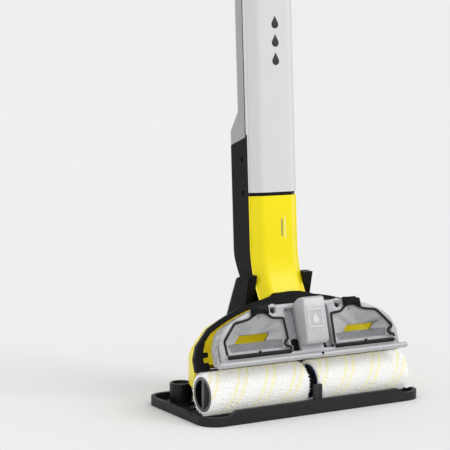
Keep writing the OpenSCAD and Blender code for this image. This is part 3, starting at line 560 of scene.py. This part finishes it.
def pile_sleeve(side):
    sign = HAND_SIGN[side]
    x0, x1, r = PILE_IN, PILE_OUT, PILE_R
    first = STRIPE_FIRST[side]
    verts, faces, tone = [], [], []
    rng = random.Random(11 + sign)
    # backing: a tube with rounded ends
    prof = [(x0 + 0.2, PILE_CORE), (x0 + 0.1, 23.0), (x0 + 1.0, 24.1)]
    prof += [(x0 + 1.6 + (x1 - x0 - 3.2) * i / PILE_ROWS, r) for i in range(PILE_ROWS + 1)]
    prof += [(x1 - 1.0, 24.1), (x1 - 0.1, 23.0), (x1 - 0.2, PILE_CORE)]
    seg = PILE_SEG
    for px, pr in prof:
        for k in range(seg):
            a = 2 * math.pi * k / seg
            wob = 0.0 if pr < 22 else 0.25 * math.sin(px * 0.9 + 3 * a) * math.sin(5 * a + px * 0.31)
            verts.append((sign * px, ROLL_Y - (pr + wob) * math.cos(a), ROLL_Z + (pr + wob) * math.sin(a)))
            y = stripe(sign * px, math.degrees(a), first)
            tone.append((0.97 + 0.02 * y, 0.97 - 0.06 * y, 0.95 - 0.44 * y))
    m = len(prof)
    for i in range(m):
        for k in range(seg):
            a, b = i * seg + k, i * seg + (k + 1) % seg
            c, d = ((i + 1) % m) * seg + (k + 1) % seg, ((i + 1) % m) * seg + k
            faces.append((a, b, c, d))
    # tufts: short three-sided spikes that lean at random, and outwards at the roller's ends
    ax = Vector((1, 0, 0))
    cols = int((x1 - x0) / TUFT_PITCH)
    for i in range(cols):
        for k in range(TUFT_ROWS):
            u = x0 + 1.0 + (x1 - x0 - 2.0) * (i + rng.random() * 0.9) / cols
            a = 2 * math.pi * (k + rng.random() * 0.9 + 0.5 * (i % 2)) / TUFT_ROWS
            length = 1.8 + 0.7 * rng.random()
            out = Vector((0, -math.cos(a), math.sin(a)))
            tang = Vector((0, math.sin(a), math.cos(a)))
            end = 0.0
            if u - x0 < TUFT_SPLAY:
                end = -0.5 * (1 - (u - x0) / TUFT_SPLAY)
            elif x1 - u < TUFT_SPLAY:
                end = 0.5 * (1 - (x1 - u) / TUFT_SPLAY)
            lean = ax * (rng.uniform(-0.45, 0.45) + end) + tang * rng.uniform(-0.55, 0.3)
            axis_pt = Vector((u, ROLL_Y, ROLL_Z))
            base = axis_pt + out * (r - 0.5)
            tip = base + (out + lean).normalized() * (length + 0.5)
            w = 0.72 + 0.3 * rng.random()
            mid = base.lerp(tip, 0.55)
            s = stripe(sign * u, math.degrees(a), first)
            shade = 0.972 + 0.028 * rng.random()
            rgb = (shade, shade - 0.05 * s, shade * 0.985 - 0.46 * s)
            start = len(verts)
            turn = rng.random() * 2
            for ring, (c, rad) in enumerate(((base, w), (mid, w * 0.8))):
                for j in range(3):
                    t = turn + j * THIRD_TURN + ring * 0.4
                    v = c + ax * rad * math.cos(t) + tang * rad * math.sin(t)
                    verts.append((sign * v.x, v.y, v.z))
                    # tuft roots are 6% darker: painted shade where the pile shades its own roots
                    tone.append(tuple(q * (0.94 if ring == 0 else 1.0) for q in rgb))
            verts.append((sign * tip.x, tip.y, tip.z))
            tone.append(rgb)
            for j in range(3):
                n = (j + 1) % 3
                faces.append((start + j, start + n, start + 3 + n, start + 3 + j))
                faces.append((start + 3 + j, start + 3 + n, start + 6))
    me = raw_mesh("pile_" + side, verts, faces)
    att = me.color_attributes.new("tone", "FLOAT_COLOR", "POINT")
    att.data.foreach_set("color", [c for t in tone for c in (*t, 1.0)])
    face_outwards(me)
    add_object("pile_" + side, me, M["pile"], "roller_" + side, "pile", sharp=60,
        replaces=("roller_sleeve_" + side,))


# profiles of the black gasket on the drive ring's face and of a thin near-black lining in the end cap's
# grip well, which is painted shade
RING_GASKET = [(6.9, 13.4), (6.9, 18.2), (6.2, 18.2), (6.05, 18.0), (6.05, 13.6), (6.2, 13.4)]
GRIP_WELL_SHADE = [(133.5, 0.2), (133.5, 16.9), (144.8, 16.9), (144.8, 17.15), (133.05, 17.15), (133.05, 0.2)]

for hand in HANDS:
    pile_sleeve(hand)
    refine("roller_core_" + hand, 0.3, 2)
    refine("roller_end_cap_" + hand, 0.5, 3)
    refine("roller_drive_ring_" + hand, 0.4, 2)
    turned("ring_gasket_" + hand, RING_GASKET, 64, M["rubber_black"], hand, "coupling_blue")
    # the grip well's near-black lining is painted shade
    turned("cap_well_painted_shade_" + hand, GRIP_WELL_SHADE, 48, EXTRA["hollow_painted_shade"], hand, "cap_grey")

# ------------------------------------------------------------------ waste tank

# body, slot and frame of most of the tank's pieces
TANK = ("waste_tank", "tank_clear", BAY)
WINDOW = [(34, -9), (36.5, 28), (50, 29), (57, 34), (62, 36.5), (71, 36.5), (76, 33.5), (84, 29),
    (103.4, 29), (121.6, 9.4), (120.3, -9)]
WIN_R = [1.5, 2, 4, 5, 3, 3, 5, 4, 3, 3, 1.5]
# intake slits at the bottom of the windows; both slant the same way, as in the photo
SLITS = {
    "left": [(-101, 5), (-92, 15), (-48, 15), (-57, 5)],
    "right": [(57, 5), (66, 15), (110, 15), (101, 5)],
}
SLOT_X = 47.6


def hand_pts(pts, hand):
    return mirrored(pts) if hand == "left" else pts


def slot_pts(x, y0, y1, r):
    return arc((x, y1), r, 0, 180, 8) + arc((x, y0), r, 180, 360, 8)


outer = fillet(arch(131, 246.3, 142, -19, 46), 2.0, 3)
holes = []
for hand in HANDS:
    holes.append(hand_pts(fillet(WINDOW, WIN_R), hand))
    holes.append(slot_pts(HAND_SIGN[hand] * SLOT_X, 39, 42, 3.3))
    notch = fillet([(16.5, -13), (16.5, 40), (31.5, 40), (31.5, -13)], 2.2)
    holes.append(hand_pts(notch, hand))
plate("tank_face", [outer, *holes], -7.5, 0, 2.2, M["tank_clear"], *TANK, 5, replaces=("waste_tank_tub",))
back_holes = [SLITS["right"], SLITS["left"], slot_pts(SLOT_X, 39, 42, 3.2),
    slot_pts(-SLOT_X, 39, 42, 3.2)]
inner = fillet(arch(130.2, 245.5, 141, -18.5, 45.2), 2.0, 3)
plate("tank_back", [inner, *back_holes], -22, -19.4, 0.8, M["tank_clear"], *TANK, 3)


def wall_strip(name, outline, t, z0, z1, mat):
    """Upright wall that follows a closed outline, t millimetres thick inwards."""
    n = len(outline)
    c = Vector((sum(p[0] for p in outline) / n, sum(p[1] for p in outline) / n))
    ins = []
    for i in range(n):
        a, b, d = Vector(outline[i - 1]), Vector(outline[i]), Vector(outline[(i + 1) % n])
        e = (b - a).normalized() + (d - b).normalized()
        e = e.normalized() if e.length > 1e-6 else (d - b).normalized()
        nrm = Vector((-e.y, e.x))
        if nrm.dot(c - b) < 0:
            nrm = -nrm
        ins.append(b + nrm * t)
    v = [(p[0], p[1], z0) for p in outline] + [(p[0], p[1], z1) for p in outline]
    v += [(p.x, p.y, z0) for p in ins] + [(p.x, p.y, z1) for p in ins]
    f = []
    for i in range(n):
        j = (i + 1) % n
        f.append((i, j, n + j, n + i))
        f.append((2 * n + i, 3 * n + i, 3 * n + j, 2 * n + j))
        f.append((n + i, n + j, 3 * n + j, 3 * n + i))
        f.append((i, 2 * n + i, 2 * n + j, j))
    return add_object(name, from_pydata(name, v, f), mat, *TANK, 35)


wall_strip("tank_wall", outer, 1.8, -21.2, -1.2, M["tank_clear"])


def resample(pts, n):
    """n points evenly spaced by length round a closed outline."""
    ring = [Vector(p) for p in pts]
    lens = [(ring[(i + 1) % len(ring)] - ring[i]).length for i in range(len(ring))]
    total, out, i, acc = sum(lens), [], 0, 0.0
    for k in range(n):
        want = total * k / n
        while acc + lens[i] < want - 1e-9:
            acc += lens[i]
            i += 1
        f = (want - acc) / lens[i] if lens[i] > 1e-9 else 0
        out.append(tuple(ring[i].lerp(ring[(i + 1) % len(ring)], f)))
    return out


# dished window: points round it, and how far in and how deep each of its levels lies
DISH_POINTS = 96
DISH_LEVELS = [(0.0, -3.2), (0.05, -3.9), (0.2, -5.6), (0.4, -8.6), (0.6, -11.6), (0.8, -14.2),
    (0.94, -15.6), (1.0, -16.2), (1.0, -19.8)]
DISH_WALL = 0.9


def funnel(hand):
    """Dished window: slopes that run from the window's edge down to the slanted intake slit."""
    slit = SLITS[hand]
    n = DISH_POINTS
    rim = resample(fillet(hand_pts(WINDOW, hand), 1.5, 3), n)
    cx, cy = sum(p[0] for p in slit) / 4, sum(p[1] for p in slit) / 4

    def ray_hit(poly, ang):
        d = Vector((math.cos(ang), math.sin(ang)))
        best = None
        for i in range(len(poly)):
            a, b = Vector(poly[i]), Vector(poly[(i + 1) % len(poly)])
            e = b - a
            det = d.x * -e.y + d.y * e.x
            if abs(det) < 1e-9:
                continue
            w = a - Vector((cx, cy))
            t = (w.x * -e.y + w.y * e.x) / det
            s = (d.x * w.y - d.y * w.x) / det
            if t > 0 and -1e-6 <= s <= 1 + 1e-6 and (best is None or t < best):
                best = t
        return (cx + d.x * best, cy + d.y * best)

    angs = [math.atan2(p[1] - cy, p[0] - cx) for p in rim]
    inner_pts = [ray_hit(slit, a) for a in angs]
    verts, faces, mats = [], [], []
    for f, z in DISH_LEVELS:
        for p, q in zip(rim, inner_pts):
            verts.append((p[0] + (q[0] - p[0]) * f, p[1] + (q[1] - p[1]) * f, z))
    for i in range(len(DISH_LEVELS) - 1):
        for k in range(n):
            j = (k + 1) % n
            faces.append((i * n + k, i * n + j, (i + 1) * n + j, (i + 1) * n + k))
            mid = Vector(((verts[i * n + k][0] + verts[(i + 1) * n + j][0]) / 2 - cx,
                (verts[i * n + k][1] + verts[(i + 1) * n + j][1]) / 2 - cy))
            # the lower slope gets the darker grey: painted shade, as it faces away from the light
            mats.append(1 if mid.y < -abs(mid.x) * 0.16 + 0.4 and i >= 2 else 0)
    me = raw_mesh("funnel_" + hand, verts, faces)
    o = add_object("window_dish_" + hand, me, EXTRA["funnel_light"], *TANK, 52,
        replaces=("window_cover_" + hand,))
    me.materials.append(EXTRA["stud_grey_and_funnel_painted_shade"])
    me.polygons.foreach_set("material_index", mats)
    s = o.modifiers.new("wall", "SOLIDIFY")
    s.thickness = DISH_WALL * MM
    s.offset = -1 if hand == "right" else 1


# rubber cord round the right window, and the ends with the notch that the two cords have
GASKET = [(33.0, -9.5), (35.2, 28.8), (50.6, 30.0), (56.8, 34.8), (61.6, 37.8), (71.4, 37.8),
    (77.2, 34.6), (84.3, 31.0), (105.0, 27.4), (123.2, 7.0), (122.2, -9.5)]
NOTCH_RIGHT = [(122.6, 3.4), (117.2, 2.0), (115.6, -2.0), (118.4, -4.6), (123.4, -5.4), (124.0, -9.0)]
NOTCH_LEFT = [(-31.6, -10.6), (-32.6, -6.4), (-38.0, -5.6), (-40.0, -2.6), (-38.0, 0.8), (-34.0, 2.6)]
GASKET_R, GASKET_RISE, GASKET_BEND = 1.5, 0.35, 2.0


def softened(path, reach):
    """Open path whose inner corners are rounded over reach millimetres."""
    soft = [path[0]]
    for before, p, after in zip(path, path[1:], path[2:]):
        a, b, c = Vector(before), Vector(p), Vector(after)
        t = min(reach, (a - b).length * 0.45, (c - b).length * 0.45)
        s, e = b + (a - b).normalized() * t, b + (c - b).normalized() * t
        soft += [tuple(bend(s, b, e, f)) for f in (0, 0.25, 0.5, 0.75, 1)]
    return soft + [path[-1]]


RUBBER = ("waste_tank", "rubber_black", BAY)
# squeegee bar below a window, as (up the face, out of the bay): a flat blade with a round bead; and where
# its small nub stands
WIPER = [(-15.2, 0.1), (-15.2, 1.1), (-14.4, 2.4), (-13.6, 3.9), (-12.4, 4.2), (-11.4, 3.2), (-11.0, 1.8),
    (-10.2, 1.2), (-10.2, 0.1)]
WIPER_FROM, WIPER_TO, NUB_X = 32.5, 122, 78
# latch: a block whose lower edge follows the window's bulge, with a hook on a hinge barrel
LATCH = fillet([(55.5, 47.4), (55.5, 34.9), (58.4, 36.2), (61.7, 37.9), (71.3, 37.9), (76.5, 34.9),
    (80.3, 32.6), (80.3, 44.2), (72, 45.9)], 1.0, 3)
HOOK = [(57, 44.8), (76.4, 44.8), (76.4, 47.2), (57, 47.2)]
HINGE_Y, HINGE_Z = 46.1, -4.1
# shallow channel beside the grip, a darker grey as painted shade, and the pocket with a raised lip low in
# it, near-black as painted shade
CHANNEL = [(15.5, -14), (15.5, 41), (32.5, 41), (32.5, -14)]
POCKET = fillet([(16.8, -12.5), (17.0, 1.5), (21.5, 2.6), (26.0, 1.0), (25.4, -4.5), (23.0, -6.0),
    (24.2, -12.5)], 1.2)
# pins on each side, and pits near the middle whose darkness is painted shade as near-black discs: x, y,
# radius, and from where to where they reach
STUDS = ((66.7, 32.6, 1.5, -3.2, -2.2), (126.2, -13.4, 1.6, -0.2, 0.25))
PITS = ((7.8, -20.6, 1.7, 5.6, 7.5), (29.5, -11.8, 1.5, -1.6, 0.2))
# ledge along the tank's foot and the grip, as (up the face, out of the bay)
LEDGE = [(-25.0, 0.4), (-24.9, 4.2), (-24.0, 6.6), (-22.2, 7.4), (-20.0, 6.9), (-18.3, 5.0), (-17.6, 2.0),
    (-17.2, -2.8), (-21.8, -3.0), (-24.2, -2.0)]
GRIP_BOX = [(-8, -0.5), (-8.2, 10), (-6.4, 13.9), (-1.5, 16.0), (43.6, 21.3), (47.6, 20.4), (49.3, 17.4),
    (49.3, 9.0), (46, -0.5)]
LEDGE_HALF, GRIP_HALF, GRIP_TAPER = 137.5, 17.5, 0.0048

for hand in HANDS:
    funnel(hand)
    sign = HAND_SIGN[hand]
    path = [(sign * x, y) for x, y in GASKET]
    path = path[:-1] + NOTCH_RIGHT if hand == "right" else NOTCH_LEFT + path[1:]
    path = [(x, y, GASKET_RISE) for x, y in softened(path, GASKET_BEND)]
    cord_mesh("gasket_" + hand, path, GASKET_R, M["rubber_black"], *RUBBER, res=3,
        replaces=("window_gasket_" + hand,))
    prism("wiper_" + hand, WIPER, WIPER_FROM * sign, WIPER_TO * sign, M["rubber_black"], *RUBBER, 0.35, 2,
        replaces=("wiper_bar_" + hand,))
    cord_mesh("wiper_nub_" + hand, [(sign * NUB_X, -9.8, 1.0), (sign * NUB_X, -9.4, 4.6)], 1.3,
        M["rubber_black"], *RUBBER, res=2)
    latch = ("latch_" + hand, "trim_black", BAY)
    plate("latch_" + hand, [hand_pts(LATCH, hand)], 0.6, 4.5, 1.1, M["trim_black"], *latch, 3,
        replaces=("cover_latch_" + hand,))
    plate("latch_hook_" + hand, [hand_pts(HOOK, hand)], HINGE_Z, 1.4, 0.3, M["trim_black"], *latch, 2)
    hinge = [(sign * 56, HINGE_Y, HINGE_Z), (sign * 77.4, HINGE_Y, HINGE_Z)]
    cord_mesh("latch_barrel_" + hand, hinge, 1.4, M["trim_black"], *latch, res=4)
    # the channel's darker grey and the pocket's near-black are painted shade
    plate("channel_" + hand, [hand_pts(CHANNEL, hand)], -9.6, -7.6, 0.4, EXTRA["tank_recess_painted_shade"], *TANK, 2)
    plate("pocket_" + hand, [hand_pts(POCKET, hand)], -7.7, -5.6, 0.4, EXTRA["hollow_painted_shade"], *TANK, 2)
    for k, (x, y, radius, z0, z1) in enumerate(STUDS):
        cord_mesh(f"stud_{hand}_{k}", [(sign * x, y, z0), (sign * x, y, z1)], radius,
            EXTRA["stud_grey_and_funnel_painted_shade"], *TANK, res=4)

prism("tank_ledge", LEDGE, -LEDGE_HALF, LEDGE_HALF, M["tank_clear"], *TANK, 0.9, 4)
prism("grip_box", GRIP_BOX, -GRIP_HALF, GRIP_HALF, EXTRA["tank_pale"], *TANK, 2.4, 4,
    replaces=("tank_grip",), taper=lambda y, z: 1.0 - GRIP_TAPER * max(0.0, z))
# near-black discs: painted shade in the pits
for k, (x, y, radius, z0, z1) in enumerate(PITS):
    cord_mesh(f"tank_pit_{k}", [(x, y, z0), (x, y, z1)], radius, EXTRA["hollow_painted_shade"], *TANK, res=4)


def drop(cx, cy, h):
    """Outline of a plain water drop."""
    r = h * 0.32
    c = (cx, cy - h / 2 + r)
    pts = arc(c, r, 152, 388, 22)
    pts.append((cx, cy + h / 2))
    return pts


# raised frame with a plain drop on the grip's sloped face
GRIP = BAY @ Matrix.Translation((0, -1.5 * MM, 16 * MM)) @ Matrix.Rotation(math.radians(6.7), 4, "X")
ring_out = fillet([(-12, 12), (10, 12), (10, 35), (-12, 35)], 3.0, 5)
ring_in = fillet([(-10.2, 13.8), (8.2, 13.8), (8.2, 33.2), (-10.2, 33.2)], 2.0, 5)
ON_GRIP = ("waste_tank", "tank_clear", GRIP)
plate("grip_frame", [ring_out, ring_in], -0.3, 0.75, 0.3, EXTRA["print_white"], *ON_GRIP, 3)
plate("grip_drop", [drop(-1, 23.5, 14)], -0.3, 0.6, 0.3, EXTRA["print_white"], *ON_GRIP, 3)

# ------------------------------------------------------------------ column

refine("column_spine", 0.5, 2)
refine("seam_band", 0.2, 2)


# front shells: half their width, how far their ridges are rounded, and their wall
SHELL_HALF, RIDGE, RIDGE_STEPS, SHELL_WALL = 33.4, 4.8, 8, 2.3


def shell_outline(depth_end):
    """Front shell's section as (x, depth behind the face): flat face, two sloped facets, soft ridges."""
    half = [(SHELL_HALF, depth_end), (SHELL_HALF, 12.6), (33.2, 11.4), (32.6, 10.7)]
    a, b, c = Vector((SHELL_HALF, 11.4)), Vector((22, 0)), Vector((0, 0))
    s, e = b + (a - b).normalized() * RIDGE, b + (c - b).normalized() * RIDGE
    for i in range(RIDGE_STEPS + 1):
        q = bend(s, b, e, i / RIDGE_STEPS)
        half.append((q.x, max(0.0, q.y)))
    return half + mirrored(half)


def front_shell(name, node, rows, slot):
    """Skin over the CAD shell from a list of outlines already placed in the column's frame."""
    n = len(rows[0])
    verts = [p for row in rows for p in row]
    faces = [(r * n + i, r * n + i + 1, (r + 1) * n + i + 1, (r + 1) * n + i)
        for r in range(len(rows) - 1) for i in range(n - 1)]
    me = raw_mesh(name, verts, faces)
    o = add_object(name, me, M[slot], "column", slot, COL, 50, replaces=(node,))
    up = (Vector(verts[1]) - Vector(verts[0])).cross(Vector(verts[n]) - Vector(verts[0]))
    w = o.modifiers.new("wall", "SOLIDIFY")
    w.thickness = SHELL_WALL * MM
    w.offset = 1 if up.x > 0 else -1
    bevelled(o, 0.5, 2, 60)


# face of the column; the curve by which the yellow foot runs under it; and where that foot ends
FACE_Y, SWEEP_R, SWEEP_Z, SWEEP_END, SWEEP_STEP = -16.4, 120.0, 50.0, math.radians(31.0), 0.002
SWEEP_ROWS, FOOT_R, FOOT_LOW = 24, 33.5, -18.0
outline = shell_outline(11.7)


def swept(x, d, th):
    """Point at depth d behind the face, th radians down the foot's curve."""
    r = SWEEP_R + d
    return (x, FACE_Y - SWEEP_R + r * math.cos(th), SWEEP_Z - r * math.sin(th))


ends = []
for x, d in outline:
    th = 0.0
    while th < SWEEP_END:
        q = swept(x, d, th + SWEEP_STEP)
        if q[2] < FOOT_LOW or (q[2] < 0 and math.hypot(q[1], q[2]) > FOOT_R):
            break
        th += SWEEP_STEP
    ends.append(th)
rows = [[(x, FACE_Y + d, z) for x, d in outline] for z in (111.8, 111.0, 90.0, 70.0, SWEEP_Z)]
for k in range(1, SWEEP_ROWS + 1):
    rows.append([swept(x, d, e * k / SWEEP_ROWS) for (x, d), e in zip(outline, ends)])
front_shell("lower_front_skin", "lower_front_shell", rows, "yellow")
rows = [[(x, FACE_Y + d, z) for x, d in outline] for z in (545.0, 544.0, 440.0, 330.0, 220.0, 117.2, 116.2)]
front_shell("upper_front_skin", "upper_front_shell", rows, "silver")
# the silver shell's edges turn in beside the rear cover
RETURN_EDGE, RETURN_IN = [(-4.7, 189.5), (2.4, 189.5), (2.4, 545), (-4.7, 545)], 31.0
for k, sx in enumerate((-1, 1)):
    prism(f"upper_return_{k}", RETURN_EDGE, sx * RETURN_IN, sx * SHELL_HALF, M["silver"], "column",
        "silver", COL, 0.3, 2)
refine("lower_rear_housing", 1.0, 3, sharp=28)
refine("upper_rear_cover", 0.7, 3)
for part in ("battery_pack", "control_board", "water_pump", "water_tube", "charge_socket", "socket_cover",
        "column_screws"):
    refine(part, 0.3, 2)
refine("handle_tube", 0.3, 2)
refine("grip_left", 2.0, 3)
refine("grip_right", 2.0, 3)
refine("power_button", 0.6, 3)
refine("fresh_tank", 0.8, 3)
refine("tank_cap", 0.6, 3)


def face_mark(name, loop, mat, slot):
    """Thin print on the column's face."""
    plate(name, [loop], -0.1, 0.14, 0.04, mat, "column", slot, FACE, 1)


# plain printed drops on the silver shell, plain bars on the yellow one and a raised bar on the tray's wall
FACE = COL @ Matrix.Translation((0, FACE_Y * MM, 0)) @ Matrix.Rotation(math.radians(90), 4, "X")
for k in range(3):
    face_mark(f"drop_mark_{k}", drop(2.5, 284 + 23 * k, 16), EXTRA["print_dark"], "silver")
face_mark("bar_mark_0", fillet([(4.6, 60), (6.8, 60), (6.8, 82), (4.6, 82)], 0.6), EXTRA["print_grey"],
    "yellow")
face_mark("bar_mark_1", fillet([(9.6, 57), (10.8, 57), (10.8, 86), (9.6, 86)], 0.4), EXTRA["print_pale"],
    "yellow")
FRONT = Matrix.Translation((0, -80.5 * MM, 0)) @ Matrix.Rotation(math.radians(90), 4, "X")
plate("tray_bar", [fillet([(-21, 9.8), (21, 9.8), (21, 12.6), (-21, 12.6)], 0.8)], -0.4, 0.5, 0.25,
    M["tray_black"], "station", "tray_black", FRONT, 2)

# ------------------------------------------------------------------ floor, light, camera

floor_me = bpy.data.meshes.new("floor")
# a disc, its radius in metres
FLOOR_R, FLOOR_SEG = 30.0, 64
turns = [2 * math.pi * k / FLOOR_SEG for k in range(FLOOR_SEG)]
disc = [(FLOOR_R * math.cos(a), FLOOR_R * math.sin(a), 0) for a in turns]
floor_me.from_pydata(disc, [], [tuple(range(FLOOR_SEG))])
floor = bpy.data.objects.new("floor", floor_me)
bpy.context.scene.collection.objects.link(floor)
fm = bpy.data.materials.new("floor_pale")
fm.use_nodes = True
fp = fm.node_tree.nodes["Principled BSDF"]
fp.inputs["Base Color"].default_value = (0.796, 0.796, 0.796, 1)
fp.inputs["Roughness"].default_value = 0.9
fp.inputs["Specular IOR Level"].default_value = 0.0
floor_me.materials.append(fm)

world = bpy.data.worlds.new("studio")
bpy.context.scene.world = world
world.use_nodes = True
wn = world.node_tree
bg = wn.nodes["Background"]
bg.inputs["Color"].default_value = (0.855, 0.855, 0.855, 1)
bg.inputs["Strength"].default_value = 1.0


def sun(name, direction, strength, angle):
    d = bpy.data.lights.new(name, "SUN")
    d.energy = strength
    d.angle = math.radians(angle)
    o = bpy.data.objects.new(name, d)
    bpy.context.scene.collection.objects.link(o)
    o.rotation_mode = "QUATERNION"
    o.rotation_quaternion = Vector(direction).to_track_quat("Z", "Y")


sun("key", (0.6, -0.65, 0.8), 1.04, 35)
sun("fill", (-0.9, -0.5, 0.45), 0.08, 50)

cam_data = bpy.data.cameras.new("camera")
# lens and place were fitted to the photo
cam_data.sensor_width = 36
cam_data.lens = 116.28
cam_data.clip_start, cam_data.clip_end = 0.05, 100
cam = bpy.data.objects.new("camera", cam_data)
bpy.context.scene.collection.objects.link(cam)
cam.location = (-0.985, -1.5279, 0.4188)
cam.rotation_euler = (math.radians(83.9), 0, math.radians(-30.4))
bpy.context.scene.camera = cam
bpy.context.scene.view_settings.view_transform = "Standard"
